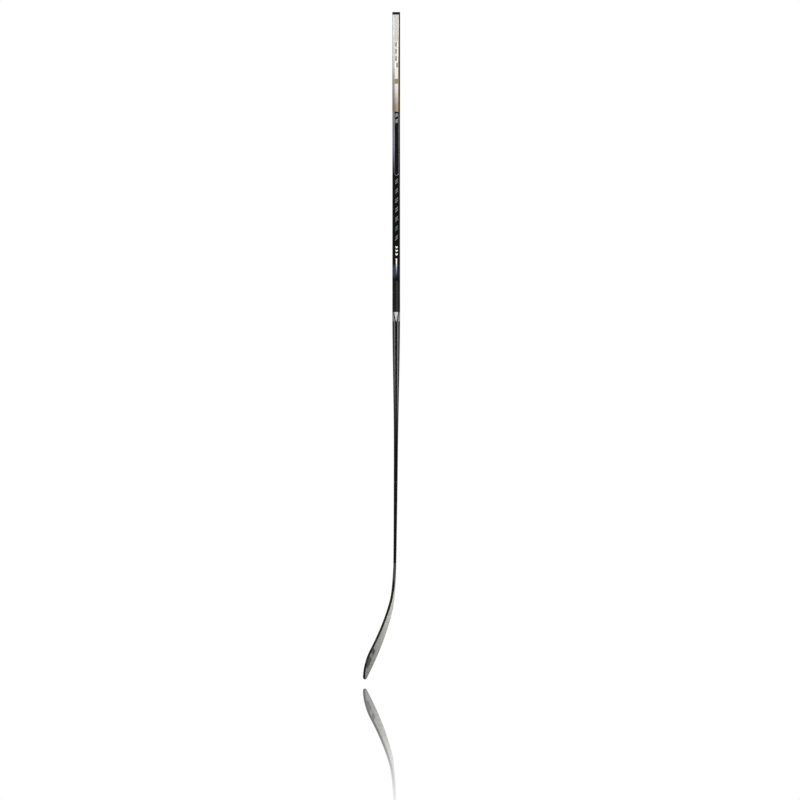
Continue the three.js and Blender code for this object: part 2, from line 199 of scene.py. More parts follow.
class Paint:
    """A procedural material. Each method adds a shader node or a few, and returns an output."""

    def __init__(self, name, **plain):
        """plain gives the Principled shader's constant inputs, with _ for a space in a name."""
        self.material = bpy.data.materials.new(name)
        self.material.use_nodes = True
        self.nodes = self.material.node_tree.nodes
        self.shader = self.nodes["Principled BSDF"]
        for socket, value in plain.items():
            self.shader.inputs[socket.replace("_", " ")].default_value = value
        self.place = self.nodes.new("ShaderNodeTexCoord").outputs["Object"]
        split = self.nodes.new("ShaderNodeSeparateXYZ")
        self.feed(split.inputs[0], self.place)
        self.x, self.y, self.z = split.outputs
        self.depth = self.math("MULTIPLY", self.z, -1)

    def feed(self, socket, value):
        """Links the socket to another node's output, or sets it to a constant."""
        if isinstance(value, bpy.types.NodeSocket):
            self.material.node_tree.links.new(value, socket)
        else:
            socket.default_value = value

    def math(self, operation, *values):
        """The result of one Math node."""
        node = self.nodes.new("ShaderNodeMath")
        node.operation = operation
        for socket, value in zip(node.inputs, values):
            self.feed(socket, value)
        return node.outputs[0]

    def total(self, first, *others):
        """The sum of numbers."""
        for other in others:
            first = self.math("ADD", first, other)
        return first

    def product(self, first, *others):
        """The product of numbers. For shares from 0 to 1 it is where all of them hold."""
        for other in others:
            first = self.math("MULTIPLY", first, other)
        return first

    def rise(self, value, low, high):
        """0 below low and 1 above high, smooth between. It falls instead where low is the larger."""
        node = self.nodes.new("ShaderNodeMapRange")
        node.interpolation_type = "SMOOTHSTEP"
        for socket, given in zip(node.inputs, (value, low, high)):
            self.feed(socket, given)
        return node.outputs[0]

    def span(self, value, low, high, edge):
        """1 between low and high and 0 outside, with edges this wide."""
        inside = self.rise(value, low - edge / 2, low + edge / 2)
        return self.math("MULTIPLY", inside, self.rise(value, high + edge / 2, high - edge / 2))

    def mix(self, share, first, second):
        """A colour between two colours."""
        node = self.nodes.new("ShaderNodeMix")
        node.data_type = "RGBA"
        # The Mix node has sockets for every data type. The ones for colours are these.
        for index, value in ((0, share), (6, first), (7, second)):
            self.feed(node.inputs[index], (*value, 1) if isinstance(value, tuple) else value)
        return node.outputs[2]

    def between(self, share, first, second):
        """A number between two numbers."""
        node = self.nodes.new("ShaderNodeMix")
        for index, value in ((0, share), (2, first), (3, second)):
            self.feed(node.inputs[index], value)
        return node.outputs[0]

    def ramp(self, value, stops):
        """A colour that passes through each of the stops, which are values below 1 and their colours."""
        node = self.nodes.new("ShaderNodeValToRGB")
        self.feed(node.inputs[0], value)
        elements = node.color_ramp.elements
        while len(elements) < len(stops):
            elements.new(1)
        for element, (position, colour) in zip(elements, stops):
            element.position = position
            element.color = (*colour, 1)
        return node.outputs[0]

    def noise(self, size, detail=2.0, stretch=(1, 1, 1)):
        """Soft noise from 0 to 1, with features of this size, stretched this many times each way."""
        spread = self.nodes.new("ShaderNodeMapping")
        self.feed(spread.inputs["Vector"], self.place)
        spread.inputs["Scale"].default_value = [1 / (size * s) for s in stretch]
        node = self.nodes.new("ShaderNodeTexNoise")
        self.feed(node.inputs["Vector"], spread.outputs[0])
        node.inputs["Scale"].default_value = 1
        node.inputs["Detail"].default_value = detail
        return node.outputs[0]

    def cells(self, size):
        """The distance from the middle of each of many cells of this size."""
        node = self.nodes.new("ShaderNodeTexVoronoi")
        self.feed(node.inputs["Vector"], self.place)
        node.inputs["Scale"].default_value = 1 / size
        return node.outputs["Distance"]

    def arch(self, value):
        """A row of rounded humps from 0 to 1, one for each whole number."""
        swing = self.math("MULTIPLY_ADD", self.math("FRACT", value), 2, -1)
        return self.math("SUBTRACT", 1, self.math("MULTIPLY", swing, swing))

    def twill(self, across, along, pitch):
        """A woven 2 by 2 twill: which threads are on top, 0 or 1, and how high the surface is, 0 to 1."""
        warp = self.math("DIVIDE", across, pitch)
        weft = self.math("DIVIDE", along, pitch)
        steps = self.math("ADD", self.math("FLOOR", warp), self.math("FLOOR", weft))
        in_repeat = self.math("FRACT", self.math("DIVIDE", steps, TWILL_REPEAT))
        over = self.math("LESS_THAN", in_repeat, TWILL_OVER)
        return over, self.between(over, self.arch(weft), self.arch(warp))

    def finish(self, colour, roughness, height, relief):
        """Links the colour and roughness, and a bump of this relief in metres from a height of 0 to 1."""
        bump = self.nodes.new("ShaderNodeBump")
        bump.inputs["Distance"].default_value = relief
        self.feed(bump.inputs["Height"], height)
        self.feed(self.shader.inputs["Base Color"], colour)
        self.feed(self.shader.inputs["Roughness"], roughness)
        self.feed(self.shader.inputs["Normal"], bump.outputs[0])
        return self.material


# ---- Colours and places of the decoration, in metres ----

BLACK = (0.0012, 0.0012, 0.0016)
CARBON_LIGHT = (0.0042, 0.0042, 0.0047)
MATTE_BLACK = (0.012, 0.012, 0.0125)
# the grey of a painted highlight down the matte end's middle
MATTE_HIGHLIGHT_GREY = (0.035, 0.035, 0.036)
SILVER_COOL = (0.55, 0.605, 0.56)
SILVER_WARM = (0.60, 0.55, 0.49)
SILVER_FLAT = (0.42, 0.42, 0.43)
PEARL = (0.78, 0.74, 0.68)
OLIVE_DARK = (0.018, 0.018, 0.012)
GOLD = (0.43, 0.33, 0.205)
GOLD_SHADE = (0.25, 0.185, 0.11)
GOLD_PALE = (0.34, 0.30, 0.22)
GOLD_DEEP = (0.29, 0.24, 0.12)
BADGE_WHITE = (0.92, 0.90, 0.84)
CREAM = (0.80, 0.76, 0.66)
# the dark blue of a painted reflection
NAVY_REFLECTION = (0.026, 0.032, 0.055)
# the blue that a painted highlight fades to
HIGHLIGHT_BLUE = (0.30, 0.33, 0.38)
TEAL_GREY = (0.08, 0.14, 0.13)
MARK_GREY = (0.17, 0.165, 0.17)
WEDGE_GREY = (0.20, 0.20, 0.202)
GUNMETAL = (0.122, 0.122, 0.124)
HOSEL_GREY = (0.042, 0.042, 0.041)

# Colours down the shaft, each with the depth that it is for
EDGE_LINE = [
    (0.045, CREAM),
    (0.125, (0.36, 0.33, 0.28)),
    (0.200, (0.34, 0.27, 0.20)),
    (0.250, (0.17, 0.12, 0.08)),
]
# Down the forehand side: silver paint that fades to black, with a painted lavender reflection of a light
# on the left from 0.262 that turns dark blue and ends by 0.415
FOREHAND_FADE_AND_REFLECTION = [
    (0.050, (0.60, 0.62, 0.60)),
    (0.120, (0.48, 0.48, 0.47)),
    (0.165, (0.30, 0.29, 0.26)),
    (0.246, (0.155, 0.14, 0.13)),
    (0.262, (0.16, 0.155, 0.175)),
    (0.345, (0.15, 0.15, 0.20)),
    (0.385, (0.055, 0.055, 0.085)),
    (0.415, BLACK),
]

CARBON_PITCH = 0.003
DIAGONAL = math.sqrt(0.5)

# How wide the edges of painted shapes are
INK_EDGE = 0.0003
ROW_EDGE = 0.0004
BLOCK_EDGE = 0.0006
TEAL_EDGE = 0.001

# How far from the middle the narrow faces' paint starts, in y, and the broad faces', in x
NARROW_FACE = (half_depth * 0.955, half_depth * 0.968)
BROAD_FACE = (half_width - 0.0008, half_width - 0.0004)

# Across the narrow faces, in x
FOREHAND_BORDER = -0.0042  # where their design meets the forehand side's
BACKHAND_BORDER = 0.0063
BORDER_BLUR = 0.0002
PEARL_BLUR = 0.001
# how soft the sides of the narrow painted highlight are
HIGHLIGHT_BLUR = 0.0008
# how soft the sides of the matte end's painted highlight are
MATTE_HIGHLIGHT_BLUR = 0.002
EDGE_LINE_WIDTH = 0.0018
MARKS_MIDDLE = 0.0010
SILVER_TURN = (-0.003, 0.0035)
GOLD_TURN = (-0.0035, 0.0045)
PEARL_BAND = (-0.0028, 0.0050)
# where the narrow painted highlight lies across
HIGHLIGHT_BAND = (-0.0008, 0.0020)
# where the matte end's painted grey highlight lies across
MATTE_HIGHLIGHT_BAND = (-0.0004, 0.0044)
# where a painted dark blue reflection reaches across, full on the forehand side
NAVY_REFLECTION_REACH = (0.012, -0.008)

# Down the shaft, as depths
GRIP_BOTTOM = 0.2554
PEARL_DEPTHS = (0.085, 0.125)
GOLD_DEPTHS = (0.178, GRIP_BOTTOM * 0.99)
BLOCK_DEPTHS = (0.171, 0.184)
PANEL_TOP, PANEL_BOTTOM = 0.262, 0.419
FADE_BOTTOM = 0.42
MARKS_TOP = 0.480
# A narrow painted highlight down the narrow faces: where it starts and where it fades
HIGHLIGHT_START = (0.630, 0.632)
HIGHLIGHT_FADE = (0.676, 0.650)
HIGHLIGHT_TURN = (0.638, 0.660)  # where the painted highlight turns from cream to blue
# Where a painted dark blue reflection lies, and how soft its ends are
NAVY_REFLECTION_DEPTHS = (0.649, 0.679)
NAVY_REFLECTION_BLUR = 0.014
MATTE_DEPTHS = (0.685, 0.691)
MATTE_SHARE = 0.8  # the most of its own colour that the matte end shows over the carbon
MATTE_HIGHLIGHT_LEAST = 0.3  # the least share of the painted grey highlight down it that shows, where the mottle is lowest
BROAD_LINES = (0.270, 0.740)
FACET_SECTION_BOTTOM = 0.985
HOSEL_GREY_TOP = (1.409, 1.413)  # where the hosel's dark grey stretch starts
HOSEL_GREY_BOTTOM = (1.462, 1.450)  # and where it ends on the edge resin

# Rows of marks: the depth they start at, their pitch and how many there are
BADGE_ROW = (0.074, 0.018, 4)
DASH_ROW = (0.2578, 0.0148, 2)
GLYPH_ROW = (0.425, 0.024, 7)
CHEVRON_ROW = (0.6005, 0.0090, 3)
BROAD_ROW = (0.330, 0.032, 5)
LAST_BADGE = (0.129, 0.130)  # the depths where the last badge starts
TEAL_GLYPH = 5  # counted from 0

# Single marks: where they start along their own pitch, their length and half their width
BADGE_PLATE = (0.0015, 0.0150, 0.0052)
BADGE_INK = (0.0025, 0.0125, 0.0029)
DASH = (0.0020, 0.0095, 0.0034)
STROKES = [(0.0055, 0.0030, 0.0032), (0.0115, 0.0030, 0.0032)]
CHEVRON = (0.0010, 0.0040, 0.0027)

BADGE_MIDDLES = (-0.0006, 0.0024)  # in x, of the badges above the last one, and of the last one
BLOCK_HALF = (0.0052, 0.0046)
PANEL_HALF = 0.0058
PANEL_LINE = 0.0010
BROAD_LINE = (0.0104, 0.0114)
BROAD_BAR_SHARE = 0.55
BROAD_BAR_HALF = 0.0082

# How far each row's marks slant: their rise for each metre sideways
MARK_SLANT = 0.35
STROKE_SLANT = 1.1
CHEVRON_SLANT = 0.9
BROAD_SLANT = 0.8

# The facets. Places across them are shares of the taper's half width, unless they say otherwise.
TAPER_BOTTOM = 1.150  # a depth
TAPER_HALF_WIDTH = 0.0050  # at that depth, in metres
RIDGE_SHIFT = 0.0002  # how far towards -X the ridge's middle is, in metres
RIDGE_EDGE = (0.27, 0.30)
STRIP_EDGE = (0.585, 0.555)
STRIP_START = (facet_full, facet_full + 0.001)  # depths
CORNER_BAND = (0.60, 0.86)
CORNER_BLUR = 0.05
CORNER_SHARE = 0.22  # how far the corners are from the carbon's colour to grey
FACET_RIM = (0.98, 0.90)
FACET_FADE = (1.12, 0.92)  # depths
WEDGE_HALVES = (0.66, 0.20)  # half the wedge's width at its top and its point
WEDGE_INSIDE = (0.11, 0.14)  # measured inwards from the wedge's outline
WEDGE_LINE = (-0.135, 0.12)
WEDGE_OUTSIDE = (-0.12, -0.15)
WEDGE_BLUR = 0.02


# ---- Materials of the shaft ----

# The lacquer: its roughness at the clearest and the haziest smudge, as shares of the usual one
SMUDGE_GLOSS, SMUDGE_HAZE = 0.7, 1.5
SCRATCH_HAZE = 0.16  # the roughness that a scratch adds
LACQUER_RELIEF = 0.00004
SMUDGE_HEIGHT = 0.6  # this and the next are shares of the relief
SCRATCH_DEPTH = 0.3


def shaft_paint(name, **plain):
    """Black carbon in a 45 degree twill under clear lacquer, and what its patterns are made from."""
    paint = Paint(
        name,
        Coat_Weight=0.07,
        Coat_Roughness=0.08,
        IOR=1.33,
        Specular_IOR_Level=0.35,
        **plain,
    )
    round_the_shaft = paint.math("ADD", paint.x, paint.y)
    across = paint.product(paint.math("ADD", paint.z, round_the_shaft), DIAGONAL)
    along = paint.product(paint.math("SUBTRACT", paint.z, round_the_shaft), DIAGONAL)
    over, paint.weave = paint.twill(across, along, CARBON_PITCH)
    cloudy = paint.noise(0.03)
    paint.carbon = paint.mix(paint.product(over, cloudy), BLACK, CARBON_LIGHT)
    paint.scratches = paint.rise(paint.noise(0.0016, detail=3, stretch=(1, 1, 24)), 0.66, 0.74)
    paint.smudges = paint.noise(0.018, detail=4)
    paint.forehand = paint.rise(paint.x, FOREHAND_BORDER + BORDER_BLUR, FOREHAND_BORDER - BORDER_BLUR)
    paint.backhand = paint.rise(paint.x, BACKHAND_BORDER - BORDER_BLUR, BACKHAND_BORDER + BORDER_BLUR)
    paint.narrow = paint.rise(paint.math("ABSOLUTE", paint.y), *NARROW_FACE)
    paint.off_axis = paint.math("ABSOLUTE", paint.x)
    paint.broad = paint.rise(paint.off_axis, *BROAD_FACE)
    paint.side = paint.math("ABSOLUTE", paint.math("SUBTRACT", paint.x, MARKS_MIDDLE))
    return paint


def lacquered(paint, colour, rough, weave_share=0.25):
    """Finishes a shaft material: smudges and hair scratches in the lacquer, a faint weave in relief."""
    shine = paint.between(paint.smudges, rough * SMUDGE_GLOSS, rough * SMUDGE_HAZE)
    worn = paint.math("MULTIPLY_ADD", paint.scratches, SCRATCH_HAZE, shine)
    height = paint.total(
        paint.product(paint.weave, weave_share),
        paint.product(paint.smudges, SMUDGE_HEIGHT),
        paint.product(paint.scratches, -SCRATCH_DEPTH),
    )
    return paint.finish(colour, worn, height, LACQUER_RELIEF)


def marks_in_row(paint, row, slant=MARK_SLANT):
    """Where a row of marks is, and how far each place in it is along the pitch of its own mark."""
    start, pitch, count = row
    lean = paint.math("MULTIPLY_ADD", paint.x, slant, paint.math("SUBTRACT", paint.depth, start))
    local = paint.math("FLOORED_MODULO", lean, pitch)
    return paint.span(paint.depth, start, start + pitch * count, ROW_EDGE), local


def bar(paint, local, mark, side=None):
    """One bar in each pitch of a row. side is the distance from the bar's middle line."""
    start, length, half = mark
    sideways = paint.rise(side or paint.side, half, half - INK_EDGE)
    return paint.product(paint.span(local, start, start + length, INK_EDGE), sideways)


def side_colours(paint, narrow_colour):
    """The broad faces: the forehand one fades from silver to black through a painted lavender and dark
    blue reflection, and the backhand one is dark.
    """
    backhand = paint.mix(paint.rise(paint.depth, GRIP_BOTTOM, FADE_BOTTOM), OLIVE_DARK, paint.carbon)
    # the forehand side's colours, which carry a painted reflection of a light on the left
    colour = paint.mix(paint.forehand, narrow_colour, paint.ramp(paint.depth, FOREHAND_FADE_AND_REFLECTION))
    return paint.mix(paint.backhand, colour, backhand)


def broad_marks(paint, colour):
    """Adds thin lines along both edges of the broad faces, and slanting bars between them."""
    across = paint.math("ABSOLUTE", paint.y)
    zone = paint.product(paint.broad, paint.span(paint.depth, *BROAD_LINES, BLOCK_EDGE))
    colour = paint.mix(paint.product(zone, paint.span(across, *BROAD_LINE, INK_EDGE)), colour, GUNMETAL)
    start, pitch, count = BROAD_ROW
    lean = paint.math("MULTIPLY_ADD", paint.y, BROAD_SLANT, paint.math("SUBTRACT", paint.depth, start))
    local = paint.math("FLOORED_MODULO", lean, pitch)
    row = paint.product(
        paint.broad,
        paint.span(lean, 0, pitch * count, ROW_EDGE),
        paint.span(local, 0, pitch * BROAD_BAR_SHARE, ROW_EDGE),
        paint.rise(across, BROAD_BAR_HALF, BROAD_BAR_HALF - ROW_EDGE),
    )
    return paint.mix(row, colour, WEDGE_GREY)


def badges(paint, colour):
    """Adds a row of plain badges to a colour: gold bars on white plates, the last bar off to one side."""
    row, local = marks_in_row(paint, BADGE_ROW)
    colour = paint.mix(paint.product(row, bar(paint, local, BADGE_PLATE)), colour, BADGE_WHITE)
    middle = paint.between(paint.rise(paint.depth, *LAST_BADGE), *BADGE_MIDDLES)
    side = paint.math("ABSOLUTE", paint.math("SUBTRACT", paint.x, middle))
    return paint.mix(paint.product(row, bar(paint, local, BADGE_INK, side)), colour, GOLD_PALE)


def grip_paint():
    """Silver turning gold downwards, with a row of badges and a gold block on the narrow faces."""
    paint = shaft_paint("grip_silver", Metallic=0.35)
    silver = paint.mix(paint.rise(paint.x, *SILVER_TURN), SILVER_COOL, SILVER_WARM)
    pearl = paint.product(
        paint.rise(paint.depth, *PEARL_DEPTHS),
        paint.span(paint.x, *PEARL_BAND, PEARL_BLUR),
    )
    silver = paint.mix(pearl, silver, PEARL)
    gold = paint.mix(paint.rise(paint.x, *GOLD_TURN), GOLD_SHADE, GOLD)
    face = paint.mix(paint.rise(paint.depth, *GOLD_DEPTHS), silver, gold)
    face = badges(paint, face)
    block = paint.product(
        paint.span(paint.depth, *BLOCK_DEPTHS, BLOCK_EDGE),
        paint.rise(paint.side, *BLOCK_HALF),
    )
    face = paint.mix(block, face, GOLD_DEEP)
    edge_line = paint.span(
        paint.x,
        BACKHAND_BORDER - EDGE_LINE_WIDTH,
        BACKHAND_BORDER + EDGE_LINE_WIDTH,
        INK_EDGE,
    )
    face = paint.mix(edge_line, face, paint.ramp(paint.depth, EDGE_LINE))
    return lacquered(paint, side_colours(paint, face), rough=0.30, weave_share=0.05)


def glyphs(paint, colour):
    """Adds a row of plain marks to a colour, each of them two slanting strokes, one of them teal."""
    start, pitch, _ = GLYPH_ROW
    row, local = marks_in_row(paint, GLYPH_ROW, STROKE_SLANT)
    strokes = paint.math("MAXIMUM", *(bar(paint, local, stroke) for stroke in STROKES))
    teal_top = start + pitch * TEAL_GLYPH
    teal = paint.span(paint.depth, teal_top, teal_top + pitch, TEAL_EDGE)
    ink = paint.mix(teal, MARK_GREY, TEAL_GREY)
    return paint.mix(paint.product(row, strokes, paint.narrow), colour, ink)


def panel_paint():
    """Gloss black with a long outlined panel, round at its lower end, below two short dashes."""
    paint = shaft_paint("panel_black")
    below = paint.math("MAXIMUM", paint.math("SUBTRACT", paint.depth, PANEL_BOTTOM - PANEL_HALF), 0)
    squares = paint.total(paint.product(paint.side, paint.side), paint.product(below, below))
    line = paint.product(
        paint.span(paint.math("SQRT", squares), PANEL_HALF - PANEL_LINE, PANEL_HALF, INK_EDGE),
        paint.rise(paint.depth, PANEL_TOP, PANEL_TOP + BLOCK_EDGE),
    )
    face = paint.mix(line, BLACK, MARK_GREY)
    row, local = marks_in_row(paint, DASH_ROW)
    face = paint.mix(paint.product(row, bar(paint, local, DASH)), face, MARK_GREY)
    colour = broad_marks(paint, side_colours(paint, face))
    return lacquered(paint, glyphs(paint, colour), rough=0.10)


def chevrons(paint, colour):
    """Adds three cream chevrons to a colour, on the narrow faces."""
    start, pitch, count = CHEVRON_ROW
    below = paint.math("SUBTRACT", paint.depth, start)
    folded = paint.math("MULTIPLY_ADD", paint.side, CHEVRON_SLANT, below)
    local = paint.math("FLOORED_MODULO", folded, pitch)
    row = paint.span(folded, 0, pitch * count, INK_EDGE)
    return paint.mix(paint.product(row, bar(paint, local, CHEVRON), paint.narrow), colour, CREAM)


def streak_highlight(paint, colour):
    """Adds a narrow painted highlight to a colour, cream at its top and fading to blue, over a painted
    dark blue reflection.
    """
    # A painted reflection of a light on the left, dark blue, on the forehand side and the left of the
    # narrow faces
    navy_reflection = paint.product(
        paint.span(paint.depth, *NAVY_REFLECTION_DEPTHS, NAVY_REFLECTION_BLUR),
        paint.rise(paint.x, *NAVY_REFLECTION_REACH),
    )
    colour = paint.mix(navy_reflection, colour, NAVY_REFLECTION)
    # The painted highlight down the narrow faces, cream turning blue as it fades
    shape = paint.product(
        paint.rise(paint.depth, *HIGHLIGHT_START),
        paint.rise(paint.depth, *HIGHLIGHT_FADE),
        paint.span(paint.x, *HIGHLIGHT_BAND, HIGHLIGHT_BLUR),
        paint.narrow,
    )
    return paint.mix(shape, colour, paint.mix(paint.rise(paint.depth, *HIGHLIGHT_TURN), CREAM, HIGHLIGHT_BLUE))


def marks_paint():
    """Black with the rest of the marks, three chevrons, a narrow painted highlight over a painted dark
    blue reflection, and a mottled matte end with a painted grey highlight down its middle.
    """
    paint = shaft_paint("marks_black")
    colour = glyphs(paint, broad_marks(paint, paint.carbon))
    # adds the narrow painted highlight and the painted dark blue reflection
    colour = streak_highlight(paint, chevrons(paint, colour))
    mottle = paint.noise(0.004, detail=4)
    matte = paint.rise(paint.depth, *MATTE_DEPTHS)
    colour = paint.mix(paint.product(matte, mottle, MATTE_SHARE), colour, MATTE_BLACK)
    # A painted grey highlight down the middle of the matte end, broken up by the mottle
    stripe = paint.product(
        matte,
        paint.span(paint.x, *MATTE_HIGHLIGHT_BAND, MATTE_HIGHLIGHT_BLUR),
        paint.between(mottle, MATTE_HIGHLIGHT_LEAST, 1),
    )
    colour = paint.mix(stripe, colour, MATTE_HIGHLIGHT_GREY)
    return lacquered(paint, colour, rough=0.2)


def wedge(paint, colour, share):
    """Adds the facets' top to a colour: a silver wedge with a black outline between two grey facets."""
    zone = paint.span(paint.depth, facet_top, facet_full, BLOCK_EDGE)
    below = paint.math("SUBTRACT", paint.depth, facet_top)
    narrowing = paint.math("DIVIDE", below, facet_full - facet_top)
    inside = paint.math("SUBTRACT", paint.between(narrowing, *WEDGE_HALVES), share)
    outer = paint.product(zone, paint.rise(inside, *WEDGE_OUTSIDE), paint.rise(share, *FACET_RIM))
    colour = paint.mix(outer, colour, WEDGE_GREY)
    outline = paint.product(zone, paint.span(inside, *WEDGE_LINE, WEDGE_BLUR))
    colour = paint.mix(outline, colour, BLACK)
    return paint.mix(paint.product(zone, paint.rise(inside, *WEDGE_INSIDE)), colour, SILVER_FLAT)


def facet_paint(name):
    """The faceted taper: a silver wedge at its top, then a black ridge between fading grey facets."""
    paint = shaft_paint(name)
    half = paint.between(paint.rise(paint.depth, taper_top, TAPER_BOTTOM), half_width, TAPER_HALF_WIDTH)
    share = paint.math("DIVIDE", paint.off_axis, half)
    from_ridge = paint.math("ABSOLUTE", paint.math("ADD", paint.x, RIDGE_SHIFT))
    fade = paint.rise(paint.depth, *FACET_FADE)
    strips = paint.product(
        paint.rise(paint.math("DIVIDE", from_ridge, half), *RIDGE_EDGE),
        paint.rise(share, *STRIP_EDGE),
        fade,
        paint.rise(paint.depth, *STRIP_START),
    )
    colour = paint.mix(strips, paint.carbon, GUNMETAL)
    corners = paint.product(paint.span(share, *CORNER_BAND, CORNER_BLUR), fade, CORNER_SHARE)
    colour = paint.mix(corners, colour, GUNMETAL)
    return lacquered(paint, wedge(paint, colour, share), rough=0.2)


def hosel_paint():
    """Plain black carbon under lacquer, dark grey at its lower end."""
    paint = shaft_paint("hosel_black")
    lower_end = paint.rise(paint.depth, *HOSEL_GREY_TOP)
    return lacquered(paint, paint.mix(lower_end, paint.carbon, HOSEL_GREY), rough=0.25)


# ---- Materials of the blade and of the other pieces ----

HEEL_DEPTH = 1.524
BLADE_PITCH = 0.0028
# the grey at the heel is paler with a painted reflection, which fades to the toe's grey
BLADE_HEEL_REFLECTION = (0.58, 0.56, 0.51)
BLADE_TOE = (0.215, 0.210, 0.190)
BLADE_SHADE = (0.03, 0.03, 0.028)
BLADE_SCUFF = (0.10, 0.10, 0.095)
HEEL_REFLECTION_FADE = (0.0, 0.26)  # where the painted reflection that makes the heel paler fades to the toe's grey, along the sole from the heel
WEAVE_SHADES = (0.80, 1.0)  # how much of their colour the threads below and on top keep
CLOUD_SHADES = (0.9, 1.1)  # the same for its darker and paler clouds
BLADE_WEAVE = 0.7  # this and the next are shares of the relief
SCUFF_DEPTH = 0.4
SCUFF_SHARE = 0.2  # how much of its own colour a scuff shows
SCUFF_HAZE = 0.15  # the roughness that a scuff adds
STRIPE_DARK = (0.012, 0.012, 0.010)
STRIPE_PALE = (0.15, 0.16, 0.135)
STRIPES = [(0.176, 0.193, STRIPE_DARK), (0.193, 0.206, STRIPE_PALE), (0.206, 0.238, STRIPE_DARK)]
STRIPE_LEAN = -0.5
STRIPE_BOTTOM = 0.037
STRIPE_EDGE = 0.001

# The other materials: the two colours that each is mixed from, and the tints over them
RESIN = ((0.002, 0.002, 0.0018), (0.007, 0.006, 0.0055))
RESIN_RUBBED = (0.04, 0.037, 0.034)
PLASTIC = ((0.0015, 0.0015, 0.0016), (0.006, 0.006, 0.0063))
LAMINATE_DARK = (0.014, 0.014, 0.015)
TENON_PALE = (0.05, 0.05, 0.0525)
BRIDGE_PALE = (0.035, 0.035, 0.03675)
GLUE = (0.10, 0.085, 0.06)
FOAM = ((0.72, 0.64, 0.44), (0.50, 0.42, 0.26))
FOAM_TINT = (0.62, 0.50, 0.28)
COMPOUND = ((0.035, 0.035, 0.038), (0.095, 0.095, 0.10))
RUBBER = ((0.04, 0.04, 0.048), (0.085, 0.085, 0.095))


def blade_places(paint):
    """How far a place on the blade is along the sole from the heel, and up from the sole."""
    forward = paint.math("SUBTRACT", half_depth, paint.y)
    down = paint.math("SUBTRACT", paint.depth, HEEL_DEPTH)
    along = paint.product(paint.math("ADD", forward, down), DIAGONAL)
    up = paint.product(paint.math("SUBTRACT", forward, down), DIAGONAL)
    return along, up


def blade_paint():
    """Grey woven laminate under satin lacquer, paler at the heel with a painted reflection that fades
    towards the toe, with plain stripes and puck scuffs.
    """
    paint = Paint("blade_laminate", Coat_Weight=0.05, Coat_Roughness=0.3, IOR=1.33)
    along, up = blade_places(paint)
    over, weave = paint.twill(paint.y, paint.z, BLADE_PITCH)
    cloudy = paint.noise(0.04, detail=3)
    # painted reflection: paler at the heel, fading to the toe's grey
    colour = paint.mix(paint.rise(along, *HEEL_REFLECTION_FADE), BLADE_HEEL_REFLECTION, BLADE_TOE)
    shade = paint.product(paint.between(over, *WEAVE_SHADES), paint.between(cloudy, *CLOUD_SHADES))
    colour = paint.mix(shade, BLADE_SHADE, colour)
    lean = paint.math("MULTIPLY_ADD", up, STRIPE_LEAN, along)
    for first, last, ink in STRIPES:
        stripe = paint.product(
            paint.span(lean, first, last, STRIPE_EDGE),
            paint.rise(up, STRIPE_BOTTOM, STRIPE_BOTTOM + STRIPE_EDGE),
        )
        colour = paint.mix(stripe, colour, ink)
    scuffs = paint.rise(paint.noise(0.004, detail=4, stretch=(1, 4, 1)), 0.62, 0.72)
    colour = paint.mix(paint.product(scuffs, SCUFF_SHARE), colour, BLADE_SCUFF)
    roughness = paint.math("MULTIPLY_ADD", scuffs, SCUFF_HAZE, paint.between(cloudy, 0.30, 0.45))
    height = paint.total(paint.product(weave, BLADE_WEAVE), paint.product(scuffs, -SCUFF_DEPTH))
    return paint.finish(colour, roughness, height, relief=0.00006)


def edge_paint():
    """Black resin with rubbed, paler patches, dark grey where it begins on the hosel."""
    paint = Paint("edge_resin", Specular_IOR_Level=0.15)
    grain = paint.noise(0.003, detail=5)
    rubbed = paint.rise(paint.noise(0.012, detail=4), 0.55, 0.72)
    colour = paint.mix(grain, *RESIN)
    colour = paint.mix(paint.rise(paint.depth, *HOSEL_GREY_BOTTOM), colour, HOSEL_GREY)
    colour = paint.mix(paint.product(rubbed, 0.35), colour, RESIN_RUBBED)
    height = paint.total(grain, paint.product(rubbed, 0.5))
    return paint.finish(colour, paint.between(rubbed, 0.3, 0.5), height, relief=0.00008)


def butt_paint():
    """Moulded rubbery plastic."""
    paint = Paint("butt_plastic", Specular_IOR_Level=0.1)
    pebbles = paint.noise(0.0028, detail=3)
    roughness = paint.between(paint.noise(0.008), 0.42, 0.62)
    return paint.finish(paint.mix(pebbles, *PLASTIC), roughness, pebbles, relief=0.0002)


def raw_carbon(name, pale, rough):
    """Unpainted carbon laminate with smears of glue, which are glossier."""
    paint = Paint(name)
    over, weave = paint.twill(paint.math("ADD", paint.y, paint.x), paint.z, CARBON_PITCH)
    smears = paint.rise(paint.noise(0.012, detail=4), 0.52, 0.62)
    colour = paint.mix(over, LAMINATE_DARK, pale)
    colour = paint.mix(paint.product(smears, 0.5), colour, GLUE)
    return paint.finish(colour, paint.between(smears, rough, rough * 0.5), weave, relief=0.0001)


def foam():
    """Closed-cell foam, cream with darker pores."""
    paint = Paint("core_foam")
    pores = paint.cells(0.0026)
    colour = paint.mix(pores, *FOAM)
    colour = paint.mix(paint.product(paint.noise(0.03), 0.4), colour, FOAM_TINT)
    return paint.finish(colour, paint.between(pores, 0.8, 0.95), pores, relief=0.0005)


def moulding_compound():
    """Dark resin full of short chopped fibres."""
    paint = Paint("insert_resin")
    fibres = paint.rise(paint.noise(0.0022, detail=5, stretch=(1, 3, 1)), 0.45, 0.62)
    roughness = paint.between(fibres, 0.55, 0.75)
    return paint.finish(paint.mix(fibres, *COMPOUND), roughness, fibres, relief=0.0001)


def rubber():
    """Soft elastomer, dull, with a fine grain."""
    paint = Paint("damper_rubber")
    grain = paint.noise(0.0025, detail=4)
    roughness = paint.between(grain, 0.8, 0.95)
    return paint.finish(paint.mix(grain, *RUBBER), roughness, grain, relief=0.00015)


# ---- Pieces ----

